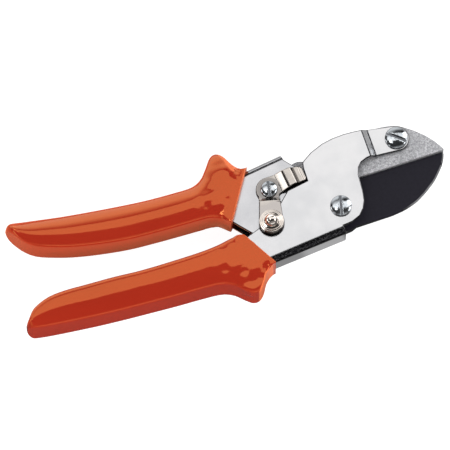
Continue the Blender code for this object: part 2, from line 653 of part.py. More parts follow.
def grip(name, stations, half_t, cavity_outline, cavity_w):
    """A dipped grip: a loft of rounded sections, closed at the tail and hollow round the lever."""
    bm = bmesh.new()
    rings = []
    stations = [tuple(handle(pair)) for pair in stations]
    thick = [half_t] * len(stations)
    last_top, last_bottom = (Vector(p) for p in stations[-1])
    before_top, before_bottom = (Vector(p) for p in stations[-2])
    back = ((last_top + last_bottom) - (before_top + before_bottom)).normalized()
    thick[-2:] = [half_t * share for share in TAIL_THICKNESS]
    sections = list(zip(stations, thick))
    middle = (last_top + last_bottom) / 2
    for i in range(1, TAIL_SECTIONS + 1):
        angle = math.pi / 2 * i / (TAIL_SECTIONS + 0.6)
        shift = back * TAIL_LENGTH * math.sin(angle)
        size = math.cos(angle)
        top = middle + (last_top - middle) * size + shift
        bottom = middle + (last_bottom - middle) * size + shift
        sections.append(((tuple(top), tuple(bottom)), thick[-1] * size))
    for (top, bottom), half in sections:
        rings.append([bm.verts.new(p) for p in rounded_section(top, bottom, half)])
    for ring_a, ring_b in zip(rings, rings[1:]):
        count = len(ring_a)
        for i in range(count):
            bm.faces.new((ring_a[i], ring_a[(i + 1) % count], ring_b[(i + 1) % count], ring_b[i]))
    bm.faces.new(rings[0])
    bm.faces.new(rings[-1])
    bmesh.ops.recalc_face_normals(bm, faces=bm.faces)
    mesh = bpy.data.meshes.new(name)
    bm.to_mesh(mesh)
    bm.free()
    obj = place(name, mesh, VINYL, (0, 0, MID_Z))
    low = MID_Z - cavity_w / 2 - CLEAR
    cavity = plate(name + "_cavity", cavity_outline, low, 2 * MID_Z - low, VINYL)
    cut(obj, as_cutter(cavity))
    return obj


def grown_outline(upper, lower, room):
    """A closed outline round two chains that run the same way, grown outwards by room."""
    up = [Vector(p) + n * room for p, n in zip(upper, outward_normals(upper, -1))]
    down = [Vector(p) + n * room for p, n in zip(lower, outward_normals(lower, 1))]
    for chain in (up, down):
        chain[-1] += (chain[-1] - chain[-2]).normalized() * TAIL_ROOM
    return [tuple(p) for p in up] + [tuple(p) for p in reversed(down)]


def grips():
    upper = [(CHEEK_TOP[4][0] + MOUTH_REACH, CHEEK_TOP[4][1])] + CHEEK_TOP[4::-1]
    web_front = ANVIL_WEB[1][0] + MOUTH_REACH
    lower = [(web_front, web_outer_y(web_front))] + ANVIL_WEB[1:]
    outline = grown_outline(upper, lower, CLEAR)
    half_t = ANVIL_CHANNEL_W / 2 + CLEAR + GRIP_WALL
    grip("anvil_lever_grip", LOWER_GRIP, half_t, outline, ANVIL_CHANNEL_W)
    outline = grown_outline(LEVER_WEB, LEVER_LOW[9::-1], CLEAR)
    half_t = LEVER_CHANNEL_W / 2 + CLEAR + UPPER_GRIP_WALL
    grip("blade_lever_grip", UPPER_GRIP, half_t, outline, LEVER_CHANNEL_W)


def web_outer_y(x):
    """Height of the anvil lever's web, outer face, between its first two points."""
    (x0, y0), (x1, y1) = ANVIL_WEB[0], ANVIL_WEB[1]
    return y0 + (y1 - y0) * (x - x0) / (x1 - x0)


def return_spring():
    """Compression spring between the anvil lever's web and the blade's tang."""
    low = web_outer_y(SPRING_X) + SHEET + CLEAR + STUD_FLANGE_H + CLEAR + SPRING_WIRE / 2
    high = TANG_LOW_Y - CLEAR - SPRING_WIRE / 2
    count = SPRING_TURNS * SPRING_POINTS_PER_TURN
    points = []
    for i in range(count + 1):
        angle = 2 * math.pi * i / SPRING_POINTS_PER_TURN
        y = low + (high - low) * i / count
        out = SPRING_RADIUS * math.cos(angle)
        rise = SPRING_RADIUS * math.sin(angle)
        points.append((SPRING_X + out, y, MID_Z + rise))
    curve = bpy.data.curves.new("return_spring", "CURVE")
    curve.dimensions = "3D"
    curve.bevel_depth = SPRING_WIRE / 2
    curve.bevel_resolution = 1
    curve.use_fill_caps = True
    spline = curve.splines.new("POLY")
    spline.points.add(count)
    for point, co in zip(spline.points, points):
        point.co = (*co, 1)
    curve.materials.append(SPRING_STEEL)
    obj = bpy.data.objects.new("return_spring", curve)
    PARTS.objects.link(obj)
    print("return_spring least gap to itself, mm:", round(least_gap(points) * 1000, 3))
    return obj


def least_gap(points):
    """Least distance between the wire's surface on one turn and on the next ones."""
    best = 1.0
    for i, a in enumerate(points):
        for b in points[i + SPRING_POINTS_PER_TURN // 2:]:
            distance = math.dist(a, b)
            best = min(best, distance - SPRING_WIRE)
    return best


def spring_stud():
    """Stud on the web that holds the foot of the spring, turned about its own axis along Y."""
    base = web_outer_y(SPRING_X) + SHEET + CLEAR
    profile = [
        (0, STUD_L), (STUD_R, STUD_L), (STUD_R, STUD_FLANGE_H), (STUD_FLANGE_R, STUD_FLANGE_H),
        (STUD_FLANGE_R, 0), (0, 0),
    ]
    obj = turned("spring_stud", profile, ZINC, (0, 0), 28)
    obj.rotation_euler = (-math.pi / 2, 0, 0)
    obj.location = (SPRING_X, base, MID_Z)
    return obj


def hang_on(parent_name, children, location):
    """Parent pieces to an empty on their joint's axis, leaving them where they are."""
    empty = bpy.data.objects.new(parent_name, None)
    empty.location = location
    PARTS.objects.link(empty)
    bpy.context.view_layer.update()
    for name in children:
        child = bpy.data.objects[name]
        child.parent = empty
        child.matrix_parent_inverse = empty.matrix_world.inverted()


def build():
    anvil_lever()
    blade_lever()
    blade()
    anvil()
    pivot()
    blade_mounting()
    anvil_mounting()
    latch()
    latch_fittings()
    grips()
    return_spring()
    spring_stud()
    moving = ["blade_lever", "blade", "blade_lever_grip", "pivot_bush", "blade_spacer_front",
              "blade_spacer_rear", "blade_rivet", "latch_screw", "latch_nut"]
    hang_on("handle_axis", moving, (0, 0, 0))
    hang_on("latch_axis", ["latch", "latch_knob"], (LATCH_X, LATCH_Y, 0))


build()
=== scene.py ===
# Looks of the anvil pruning shears: pressed and plated levers, black blade on a blasted anvil,
# dipped orange grips, nickel latch and return spring, on a plain white table.
import math

import bmesh
import bpy
from mathutils import Matrix, Vector


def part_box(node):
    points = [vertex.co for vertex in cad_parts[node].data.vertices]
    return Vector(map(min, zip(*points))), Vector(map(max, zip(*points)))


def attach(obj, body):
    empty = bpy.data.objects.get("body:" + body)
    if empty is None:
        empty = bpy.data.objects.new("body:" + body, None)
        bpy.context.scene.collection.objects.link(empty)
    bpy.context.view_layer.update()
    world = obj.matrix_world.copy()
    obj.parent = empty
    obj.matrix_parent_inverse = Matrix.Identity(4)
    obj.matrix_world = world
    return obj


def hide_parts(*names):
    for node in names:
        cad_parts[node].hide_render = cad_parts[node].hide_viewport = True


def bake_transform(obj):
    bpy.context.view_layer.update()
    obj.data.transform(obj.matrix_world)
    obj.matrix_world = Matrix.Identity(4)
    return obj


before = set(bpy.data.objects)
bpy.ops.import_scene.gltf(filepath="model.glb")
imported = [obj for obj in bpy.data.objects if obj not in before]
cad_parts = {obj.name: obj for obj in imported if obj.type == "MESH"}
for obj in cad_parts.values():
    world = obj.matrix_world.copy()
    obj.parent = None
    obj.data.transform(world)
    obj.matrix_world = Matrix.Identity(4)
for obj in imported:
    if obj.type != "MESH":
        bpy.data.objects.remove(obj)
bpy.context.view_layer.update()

MM = 0.001                 # one millimetre
NEAR = 0.0001              # places closer than this count as the same
MERGE_WITHIN = 0.000004    # points closer than this are merged
FLAT_WITHIN = math.radians(0.6)                 # faces that turn less than this are merged
MIDDLE_Z = 0.0097          # height of the blade's middle plane
CHEEK_Z = 0.0169           # front face of the anvil lever's cheek
LATCH_AT = Vector((-0.0287, 0.0185, 0.0))       # axis of the latch screw
HOOK_ALONG = Vector((0.995, 0.096, 0.0))        # from there along the hook arm
THUMB_ALONG = Vector((-0.244, -0.970, 0.0))     # and along the thumb arm


# Camera and lamps

PHOTO_SIZE = 450           # pixels along each side of the photograph
PIXEL = 0.00046            # metres of the object in one of them
PIVOT_PIXEL = (341, 206)   # where the photograph shows the pivot's axis on the cheek
VIEW_TURN = math.radians(18.5)
VIEW_TIP = math.radians(19.5)
VIEW_DISTANCE = 3.0
SENSOR = 36.0

# Direction from the shears, distance, width and height in metres, watts
LAMPS = {
    "window": ((0.106, 0.357, 0.928), 2.0, 3.2, 1.05, 14.2),
    "right_strip": ((0.93, 0.30, 0.20), 1.6, 1.4, 0.7, 2.2),
    "right_lamp": ((0.82, 0.28, 0.50), 2.0, 0.9, 1.2, 9.0),
    "left_lamp": ((-0.89, 0.30, 0.34), 2.0, 0.8, 0.75, 5.6),
    "right_low_lamp": ((0.80, -0.28, 0.52), 1.6, 0.7, 0.7, 4.0),
    "left_low_lamp": ((-0.82, -0.28, 0.50), 1.6, 0.45, 0.5, 1.6),
    "front_strip": ((0.02, -0.92, 0.28), 1.6, 1.6, 0.4, 2.2),
    "tail_lamp": ((-0.30, 0.12, 0.95), 1.6, 0.34, 0.28, 1.8),
    "low_fill": ((-0.30, -0.85, 0.42), 1.6, 1.2, 0.8, 9.0),
    "fill": ((-0.25, -0.75, 0.62), 1.6, 1.2, 1.2, 12.0),
}
LAMPS_AIM = Vector((-0.05, 0.01, 0.01))


def set_camera():
    """Long lens, from the photograph's side: the shears lie turned and tipped towards the viewer."""
    right = Vector((math.cos(VIEW_TURN), -math.sin(VIEW_TURN), 0))
    back = Vector((-math.sin(VIEW_TIP) * math.sin(VIEW_TURN), -math.sin(VIEW_TIP) * math.cos(VIEW_TURN),
                   math.cos(VIEW_TIP)))
    up = back.cross(right)
    centre = PHOTO_SIZE / 2
    middle = (Vector((0, 0, CHEEK_Z)) + right * (centre - PIVOT_PIXEL[0]) * PIXEL
              + up * (PIVOT_PIXEL[1] - centre) * PIXEL)
    data = bpy.data.cameras.new("camera")
    data.sensor_width = SENSOR
    data.lens = SENSOR * VIEW_DISTANCE / (PHOTO_SIZE * PIXEL)
    data.clip_start = 0.05
    camera = bpy.data.objects.new("camera", data)
    bpy.context.scene.collection.objects.link(camera)
    camera.matrix_world = Matrix((right, up, back)).transposed().to_4x4()
    camera.location = middle + back * VIEW_DISTANCE
    bpy.context.scene.camera = camera


def set_lamps():
    """A long window overhead and lamps round it. Metal and vinyl mirror all but the two fills, and the tail
    lamp is seen only as a mirrored shine."""
    for name, (direction, distance, width, height, watts) in LAMPS.items():
        data = bpy.data.lights.new(name, "AREA")
        data.shape = "RECTANGLE"
        data.size = width
        data.size_y = height
        data.energy = watts
        lamp = bpy.data.objects.new(name, data)
        bpy.context.scene.collection.objects.link(lamp)
        lamp.location = LAMPS_AIM + distance * Vector(direction)
        lamp.rotation_euler = (LAMPS_AIM - lamp.location).to_track_quat("-Z", "Y").to_euler()
        lamp.visible_glossy = name not in ("low_fill", "fill")
        lamp.visible_diffuse = name != "tail_lamp"


# Shader maths

class Wire:
    """A socket that can be added, multiplied and so on. Each sign adds a Math node."""

    def __init__(self, nodes, socket):
        self.nodes = nodes
        self.socket = socket

    def maths(self, operation, *others):
        node = self.nodes.add("ShaderNodeMath", {"operation": operation}, self, *others)
        return Wire(self.nodes, node.outputs[0])

    def __add__(self, other):
        return self.maths("ADD", other)

    __radd__ = __add__

    def __mul__(self, other):
        return self.maths("MULTIPLY", other)

    __rmul__ = __mul__

    def __sub__(self, other):
        return self.maths("SUBTRACT", other)

    def __rsub__(self, other):
        node = self.nodes.add("ShaderNodeMath", {"operation": "SUBTRACT"}, other, self)
        return Wire(self.nodes, node.outputs[0])

    def step(self, low, high):
        """0 below low, 1 above high, smooth in between."""
        settings = {"interpolation_type": "SMOOTHSTEP"}
        node = self.nodes.add("ShaderNodeMapRange", settings, self, low, high, 0.0, 1.0)
        return Wire(self.nodes, node.outputs[0])

    def band(self, low, high, soft):
        """1 between low and high, with a smooth change just past each of them."""
        return self.step(low, low + soft) * (1.0 - self.step(high, high + soft))


class Nodes:
    """A node tree with its shader, and the ways of feeding it."""

    def __init__(self, tree, shader):
        self.tree = tree
        self.shader = tree.nodes[shader]

    def feed(self, socket, value):
        self.put(self.shader.inputs[socket], value)

    def put(self, socket, value):
        if isinstance(value, Wire):
            self.tree.links.new(value.socket, socket)
        elif socket.type == "RGBA":
            socket.default_value = (*value, 1.0)
        else:
            socket.default_value = value

    def add(self, kind, settings, *values, **named):
        node = self.tree.nodes.new(kind)
        for key, value in settings.items():
            setattr(node, key, value)
        for socket, value in zip(node.inputs, values):
            self.put(socket, value)
        for key, value in named.items():
            self.put(node.inputs[key], value)
        return node

    def given(self, kind, output):
        """What a node without inputs gives: a place, a normal or a kind of ray."""
        return Wire(self, self.add(kind, {}).outputs[output])

    def parts(self, vector):
        """The X, Y and Z of a vector."""
        node = self.add("ShaderNodeSeparateXYZ", {}, vector)
        return [Wire(self, socket) for socket in node.outputs]

    def facing(self):
        """The X, Y and Z of the surface normal."""
        return self.parts(self.given("ShaderNodeNewGeometry", "Normal"))

    def place(self):
        """The X, Y and Z of the place on the piece."""
        return self.parts(self.given("ShaderNodeTexCoord", "Object"))

    def noise(self, scale, detail, stretch=(1, 1, 1)):
        spot = self.given("ShaderNodeTexCoord", "Object")
        mapped = self.add("ShaderNodeMapping", {}, Vector=spot, Scale=stretch)
        vector = Wire(self, mapped.outputs[0])
        node = self.add("ShaderNodeTexNoise", {}, Vector=vector, Scale=scale, Detail=detail)
        return Wire(self, node.outputs["Fac"])

    def mix(self, share, first, second):
        """A colour between two, further to the second as the share grows."""
        node = self.add("ShaderNodeMix", {"data_type": "RGBA"}, share)
        colours = [socket for socket in node.inputs if socket.type == "RGBA"]
        self.put(colours[0], first)
        self.put(colours[1], second)
        return Wire(self, [socket for socket in node.outputs if socket.type == "RGBA"][0])


class Finish(Nodes):
    """A material: a Principled shader and the nodes that feed it."""

    def __init__(self, name, **fixed):
        self.material = bpy.data.materials.new(name)
        self.material.use_nodes = True
        super().__init__(self.material.node_tree, "Principled BSDF")
        for socket, value in fixed.items():
            self.feed(socket.replace("_", " "), value)

    def rough_up(self, height, strength, distance):
        bump = self.add("ShaderNodeBump", {}, Strength=strength, Distance=distance, Height=height)
        self.feed("Normal", Wire(self, bump.outputs[0]))


# Finishes

def plated_sheet(name, low, high, unshaded_from):
    """Pressed sheet steel with a bright plate: faint clouds, fine pores, rolled grain along the lever.
    Its folds and cut edges are painted near black as a painted dark reflection, apart from folds that face +X
    or face further to +Y than unshaded_from. Faces that slope away from flat get painted shade, darker where
    they face +Y."""
    finish = Finish(name, Metallic=1.0)
    broad = finish.noise(34.0, 2.0)
    clouds = finish.noise(120.0, 4.0)
    grain = finish.noise(1500.0, 2.0, (0.06, 1.0, 1.0))
    pores = finish.noise(2600.0, 1.0)
    scale = finish.noise(2100.0, 3.0)
    right, back, up = finish.facing()
    shade = (0.6 * broad + 0.4 * clouds).step(0.34, 0.66)
    # painted dark reflection: faces tilted from flat at folds and cut edges, except those facing +X or far
    # enough to +Y, are painted near black with grey specks
    fold = up.step(0.05, 0.12) * ((1.0 - up) * (0.3 + 1.4 * scale)).step(0.004, 0.014)
    fold = fold * (1.0 - right.step(0.5, 0.62)) * (1.0 - back.step(unshaded_from, unshaded_from + 0.1))
    # painted shade: faces that slope away from flat are painted darker grey, darker still where they face +Y
    slope = 1.0 - up.step(0.90, 0.985)
    slope_shade = finish.mix(back.step(0.44, 0.58), (0.40, 0.40, 0.41), (0.13, 0.13, 0.135))
    bright = finish.mix(0.75 * slope, finish.mix(shade, low, high), slope_shade)
    black = finish.mix(scale.step(0.45, 0.75), (0.008, 0.008, 0.010), (0.20, 0.20, 0.21))
    finish.feed("Base Color", finish.mix(fold, bright, black))
    finish.feed("Roughness", 0.12 + 0.07 * shade + 0.05 * grain + 0.2 * fold)
    finish.rough_up(0.6 * grain + 0.4 * pores + clouds + 2.0 * fold * scale, 0.08, 0.00008)
    return finish.material


def zinc_plate():
    """Turned screws and nuts with a bluish zinc plate. Sides that face +Y are painted darker as shade, and
    faces that look straight up, such as the floor of each slot, are painted dark as shade.
    """
    finish = Finish("zinc_plated_screws", Metallic=1.0)
    clouds = finish.noise(520.0, 2.0)
    pores = finish.noise(3200.0, 1.0)
    back, up = finish.facing()[1:]
    # painted shade: every face that looks straight up, such as a slot's floor, is painted dark
    upward_face_shade = up.step(0.9985, 0.9996)
    plate = finish.mix(clouds.step(0.3, 0.7), (0.50, 0.535, 0.57), (0.66, 0.685, 0.71))
    # painted shade: sides that face +Y are painted darker
    plate = finish.mix(back.step(0.03, 0.16), plate, (0.27, 0.285, 0.30))
    finish.feed("Base Color", finish.mix(upward_face_shade, plate, (0.12, 0.125, 0.135)))
    finish.feed("Roughness", 0.08 + 0.10 * clouds)
    finish.rough_up(clouds + 0.1 * pores, 0.12, 0.0004)
    return finish.material


def latch_nickel():
    """Warm bright nickel on the latch. The hub round its screw is rougher and painted darker as shade, and
    the hook arm's step down before its lug is painted dark as shade.
    Its steep faces and the tilted rims of its cut edges are painted dark as shade, and the gentle slopes of
    its bends aren't."""
    finish = Finish("bright_nickel", Metallic=1.0)
    clouds = finish.noise(260.0, 3.0)
    up = finish.facing()[2]
    x, y, z = finish.place()
    right = x - LATCH_AT.x
    back = y - LATCH_AT.y
    round_screw = 1.0 - (right * right + back * back).step(0.0052 ** 2, 0.0064 ** 2)
    # painted shade: the hub round the screw is painted darker, and it is also rougher
    hub_shade_and_dullness = round_screw * (1.0 - z.step(0.0161, 0.0168))
    thumb = 1.0 - y.step(0.0100, 0.0125)
    hook = right * HOOK_ALONG.x + back * HOOK_ALONG.y
    arm = right * THUMB_ALONG.x + back * THUMB_ALONG.y
    soft = 0.0003
    bent = (hook.band(0.0044, 0.0097, soft) + hook.band(0.0120, 0.0140, soft)
            + arm.band(0.0037, 0.0069, soft))
    # painted shade: steep faces, and tilted rims outside the bends, are painted dark
    steep = 1.0 - up.step(0.60, 0.74)
    edge = steep + (1.0 - steep) * (1.0 - bent) * (1.0 - up.step(0.86, 0.96))
    # painted shade in the hook arm's step down before its lug
    crease_shade = hook.step(0.0128, 0.0130) * (1.0 - hook.step(0.0140, 0.0147)) * (1.0 - thumb)
    plate = finish.mix(clouds.step(0.3, 0.7), (0.44, 0.405, 0.375), (0.52, 0.480, 0.440))
    plate = finish.mix(thumb, plate, (0.42, 0.388, 0.368))
    plate = finish.mix(hub_shade_and_dullness, plate, (0.27, 0.250, 0.238))
    plate = finish.mix(crease_shade, plate, (0.10, 0.088, 0.080))
    finish.feed("Base Color", finish.mix(edge, plate, (0.035, 0.028, 0.026)))
    finish.feed("Roughness", 0.10 + 0.10 * clouds + 0.10 * hub_shade_and_dullness)
    finish.rough_up(clouds, 0.10, 0.00015)
    return finish.material


def knob_nickel():
    """The same nickel on the turned knob, without dark edges."""
    finish = Finish("turned_nickel_knob", Metallic=1.0)
    clouds = finish.noise(300.0, 2.0)
    finish.feed("Base Color", finish.mix(clouds, (0.58, 0.52, 0.475), (0.74, 0.68, 0.62)))
    finish.feed("Roughness", 0.07 + 0.06 * clouds)
    finish.rough_up(clouds, 0.06, 0.0001)
    return finish.material


def blade_coat():
    """Black coating on the blade's flats. Its narrow edges are bare steel, palest where they are ground
    towards the tip. The tang behind the pivot is bare too, and paler on the lobe under the hook."""
    finish = Finish("black_coated_blade", Specular_IOR_Level=0.12)
    wear = finish.noise(700.0, 3.0)
    grain = finish.noise(2400.0, 2.0)
    specks = grain.step(0.35, 0.65)
    x, y = finish.place()[:2]
    blade = x.step(-0.0025, -0.0015)
    tip = x.step(0.028, 0.034)
    flat = finish.facing()[2].maths("ABSOLUTE").step(0.80, 0.95) * blade
    coat = finish.mix(wear, (0.010, 0.009, 0.014), (0.016, 0.015, 0.022))
    tang = finish.mix(specks, (0.03, 0.03, 0.032), (0.10, 0.10, 0.105))
    lobe = finish.mix(specks, (0.10, 0.10, 0.105), (0.38, 0.38, 0.39))
    heel = finish.mix(grain, (0.06, 0.06, 0.065), (0.12, 0.12, 0.125))
    ground = finish.mix(grain, (0.15, 0.15, 0.155), (0.23, 0.23, 0.235))
    rear = finish.mix(y.step(0.004, 0.008), tang, lobe)
    front = finish.mix(tip, heel, ground)
    bare = finish.mix(x.step(0.006, 0.014), rear, front)
    finish.feed("Base Color", finish.mix(flat, bare, coat))
    finish.feed("Metallic", (1.0 - flat) * (1.0 - 0.7 * tip))
    finish.feed("Roughness", 0.34 + 0.18 * flat + 0.08 * wear + 0.12 * (1.0 - blade))
    finish.rough_up(grain + wear, 0.15, 0.00008)
    return finish.material


def blasted_casting():
    """Cast anvil, blasted to an even sparkling grey."""
    finish = Finish("blasted_anvil_casting", Metallic=0.6)
    grit = finish.noise(2600.0, 3.0)
    spots = finish.noise(900.0, 2.0)
    sparkle = (0.7 * grit + 0.3 * spots).step(0.35, 0.68)
    finish.feed("Base Color", finish.mix(sparkle, (0.25, 0.25, 0.265), (0.66, 0.66, 0.68)))
    finish.feed("Roughness", 0.42 + 0.2 * grit)
    finish.rough_up(grit + 0.4 * spots, 0.45, 0.0002)
    return finish.material


def dipped_vinyl():
    """Glossy orange-red vinyl with a slow waviness from dipping, stronger at the horns. Faces that look
    towards the blade's end get a painted pale highlight, and are rougher there."""
    finish = Finish("orange_dipped_vinyl", IOR=1.8, Specular_IOR_Level=0.9, Specular_Tint=(1.0, 0.42, 0.13))
    slow = finish.noise(38.0, 1.0)
    fine = finish.noise(900.0, 2.0)
    dimples = finish.noise(105.0, 1.0)
    # painted highlight: faces that look towards +X are painted pale orange, and they are rougher
    ends = finish.facing()[0].step(0.18, 0.42)
    horns = finish.place()[0].step(-0.070, -0.056)
    skin = finish.mix(slow, (0.37, 0.022, 0.010), (0.43, 0.028, 0.012))
    finish.feed("Base Color", finish.mix(ends, skin, (0.88, 0.175, 0.065)))
    finish.feed("Roughness", 0.05 + 0.03 * fine + 0.35 * ends)
    finish.rough_up(slow + 0.02 * fine + 4.0 * horns * dimples, 0.25, 0.0010)
    return finish.material


def bearing_bronze():
    finish = Finish("bearing_bronze", Metallic=1.0)
    marks = finish.noise(1800.0, 2.0, (1.0, 1.0, 4.0))
    finish.feed("Base Color", finish.mix(marks, (0.45, 0.30, 0.14), (0.62, 0.44, 0.24)))
    finish.feed("Roughness", 0.26 + 0.16 * marks)
    finish.rough_up(marks, 0.15, 0.0001)
    return finish.material


def spring_wire():
    finish = Finish("drawn_spring_wire", Metallic=1.0)
    marks = finish.noise(2200.0, 2.0)
    finish.feed("Base Color", finish.mix(marks, (0.34, 0.34, 0.36), (0.52, 0.52, 0.54)))
    finish.feed("Roughness", 0.24 + 0.12 * marks)
    finish.rough_up(marks, 0.12, 0.00008)
    return finish.material


NO_UNSHADED_FOLDS = 2.0       # no surface faces this far back, so every fold gets the painted dark reflection
CHEEK_STEEL = plated_sheet("plated_cheek_steel", (0.535, 0.535, 0.545), (0.625, 0.62, 0.625), NO_UNSHADED_FOLDS)
LEVER_STEEL = plated_sheet("plated_lever_steel", (0.45, 0.45, 0.465), (0.57, 0.565, 0.575), 0.42)
ZINC = zinc_plate()
NICKEL = latch_nickel()
KNOB = knob_nickel()
COAT = blade_coat()
CASTING = blasted_casting()
VINYL = dipped_vinyl()
BRONZE = bearing_bronze()
WIRE = spring_wire()


# Modelling helpers

def only(piece):
    """Selects one piece and nothing else."""
    bpy.ops.object.select_all(action="DESELECT")
    piece.select_set(True)
    bpy.context.view_layer.objects.active = piece


def pick(piece, test, mode="FACE"):
    """In edit mode, selects what passes a test: of a face's middle and normal, of an edge's middle and the
    edge itself, or of a point's place."""
    bpy.ops.mesh.select_mode(type=mode)
    bpy.ops.mesh.select_all(action="DESELECT")
    shape = bmesh.from_edit_mesh(piece.data)
    if mode == "FACE":
        chosen = [face for face in shape.faces if test(face.calc_center_median(), face.normal)]
    elif mode == "EDGE":
        chosen = [edge for edge in shape.edges if test((edge.verts[0].co + edge.verts[1].co) / 2, edge)]
    else:
        chosen = [point for point in shape.verts if test(point.co)]
    for part in chosen:
        part.select_set(True)
    shape.select_flush_mode()
    bmesh.update_edit_mesh(piece.data)


def paint(piece, material):
    piece.data.materials.clear()
    piece.data.materials.append(material)


def hold(piece, body, material, node, smooth=32, level=True):
    """Finishes a piece: modifiers and place in its mesh, smooth by angle and its material. It hides the node
    that it stands for and, when a body is given, hangs the piece on the body that it rides on."""
    only(piece)
    for modifier in list(piece.modifiers):
        bpy.ops.object.modifier_apply(modifier=modifier.name)
    bpy.ops.object.transform_apply(location=True, rotation=True, scale=True)
    bpy.ops.object.shade_smooth_by_angle(angle=math.radians(smooth))
    if level:
        weighted = piece.modifiers.new("flat_faces_stay_flat", "WEIGHTED_NORMAL")
        weighted.keep_sharp = True
        bpy.ops.object.modifier_apply(modifier=weighted.name)
    paint(piece, material)
    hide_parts(node)
    if body:
        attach(piece, body)


def merged_copy(node, name):
    """A copy of a CAD node, its loose triangles merged into flat faces. It is left in edit mode."""
    piece = bpy.data.objects.new(name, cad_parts[node].data.copy())
    bpy.context.scene.collection.objects.link(piece)
    only(piece)
    bpy.ops.object.mode_set(mode="EDIT")
    bpy.ops.mesh.select_all(action="SELECT")
    bpy.ops.mesh.remove_doubles(threshold=MERGE_WITHIN)
    bpy.ops.mesh.dissolve_limited(angle_limit=FLAT_WITHIN)
    return piece


def round_edges(piece, width, segments=2, angle=25):
    """Leaves edit mode and gives the piece's sharp edges a small bevel."""
    bpy.ops.object.mode_set(mode="OBJECT")
    bevel = piece.modifiers.new("rounded_edges", "BEVEL")
    bevel.width = width
    bevel.segments = segments
    bevel.limit_method = "ANGLE"
    bevel.angle_limit = math.radians(angle)
    bevel.use_clamp_overlap = False


def drawn_line(name, spots):
    """A new piece in edit mode: one point, extruded from spot to spot, all of it selected."""
    bpy.ops.object.select_all(action="DESELECT")
    bpy.ops.mesh.primitive_plane_add(size=0.001)
    piece = bpy.context.object
    piece.name = name
    bpy.ops.object.mode_set(mode="EDIT")
    bpy.ops.mesh.select_mode(type="VERT")
    bpy.ops.mesh.select_all(action="SELECT")
    bpy.ops.mesh.merge(type="CENTER")
    bpy.ops.transform.translate(value=spots[0])
    for before, spot in zip(spots, spots[1:]):
        bpy.ops.mesh.extrude_vertices_move(TRANSFORM_OT_translate={"value": spot - before})
    bpy.ops.mesh.select_all(action="SELECT")
    return piece


# Levers, blade, anvil and screws

CURVES_FROM = 0.010        # X past which the blade's and the anvil's outlines are curves
UPRIGHT = 0.0028           # least height of a corner that runs through the blade or the anvil
BLUNT = (math.radians(4), math.radians(24))     # turn of the outline at such a corner
BLADE_CURVE = {            # corners of the blade's curve, and where they go
    (0.0206, -0.0091): (0.0209, -0.0101),
    (0.0272, -0.0084): (0.0278, -0.0093),
    (0.0338, -0.0068): (0.0343, -0.0074),
    (0.0398, -0.0041): (0.0403, -0.0040),
    (0.0456, -0.0006): (0.0460, 0.0001),
    (0.0506, 0.0041): (0.0506, 0.0050),
    (0.0528, 0.0074): (0.0528, 0.0080),
}
BACK_GRIND = (0.0019, 0.0125)                   # width of the slope, and X where it starts
FRONT_GRIND = (0.35 * BACK_GRIND[0], 0.0270)
SHARP = math.radians(69)   # least turn between two faces whose edge is ground
TIP_FROM = 0.0420          # X past which the curve rises to the tip
TIP_RISE = 1.45            # and how steeply a line between it and the cutting edge does
EDGE_GAP = 0.0005          # how far under that line and the cutting edge the curve's rims lie at least


def curve_corners(piece, reach):
    """Turns the blunt corners of an outline into curves that start that far from the corner."""

    def blunt(co, edge):
        if co.x < CURVES_FROM or len(edge.link_faces) != 2 or not edge.is_convex:
            return False
        height = abs(edge.verts[0].co.z - edge.verts[1].co.z)
        return height > UPRIGHT and BLUNT[0] < edge.calc_face_angle() < BLUNT[1]

    pick(piece, blunt, "EDGE")
    bpy.ops.mesh.bevel(offset=reach, segments=4, affect="EDGES", clamp_overlap=True)


def grind_curve(blade):
    """Takes both rims of the blade's curve down to slopes. The straight cutting edge above it stays."""
    heights = [corner.co.z for corner in bmesh.from_edit_mesh(blade.data).verts]
    for rim_z, (slope, start) in ((min(heights), BACK_GRIND), (max(heights), FRONT_GRIND)):

        def on_rim(co, edge):
            on_curve = co.x > start and co.y < max(co.x - TIP_FROM, 0) * TIP_RISE - EDGE_GAP
            at_rim = abs(co.z - rim_z) < NEAR and len(edge.link_faces) == 2
            return on_curve and at_rim and edge.calc_face_angle() > SHARP

        pick(blade, on_rim, "EDGE")
        bpy.ops.mesh.bevel(offset=slope, segments=1, affect="EDGES", clamp_overlap=False)


def levers():
    """Both pressed channels, the edges of their sheet rounded over."""
    for node, body, material, rounding in (("anvil_lever", "anvil_side", CHEEK_STEEL, 0.00052),
                                           ("blade_lever", "blade_side", LEVER_STEEL, 0.00046)):
        lever = merged_copy(node, node + "_sheet")
        round_edges(lever, rounding, segments=3)
        hold(lever, body, material, node)


def coated_blade():
    blade = merged_copy("blade", "coated_blade")
    for (x, y), (to_x, to_y) in BLADE_CURVE.items():
        pick(blade, lambda co: abs(co.x - x) < NEAR and abs(co.y - y) < NEAR, "VERT")
        bpy.ops.transform.translate(value=(to_x - x, to_y - y, 0))
    curve_corners(blade, reach=0.0030)
    grind_curve(blade)
    round_edges(blade, width=0.00012)
    hold(blade, "blade_side", COAT, "blade")


def cast_anvil():
    anvil = merged_copy("anvil", "blasted_anvil")
    curve_corners(anvil, reach=0.0017)
    round_edges(anvil, width=0.00020)
    hold(anvil, "anvil_side", CASTING, "anvil")


def slotted_screws():
    for node, body in (("pivot_screw", "anvil_side"), ("anvil_screw", "anvil_side"),
                       ("latch_screw", "blade_side")):
        screw = merged_copy(node, "slotted_" + node)
        round_edges(screw, width=0.00010, angle=30)
        hold(screw, body, ZINC, node)


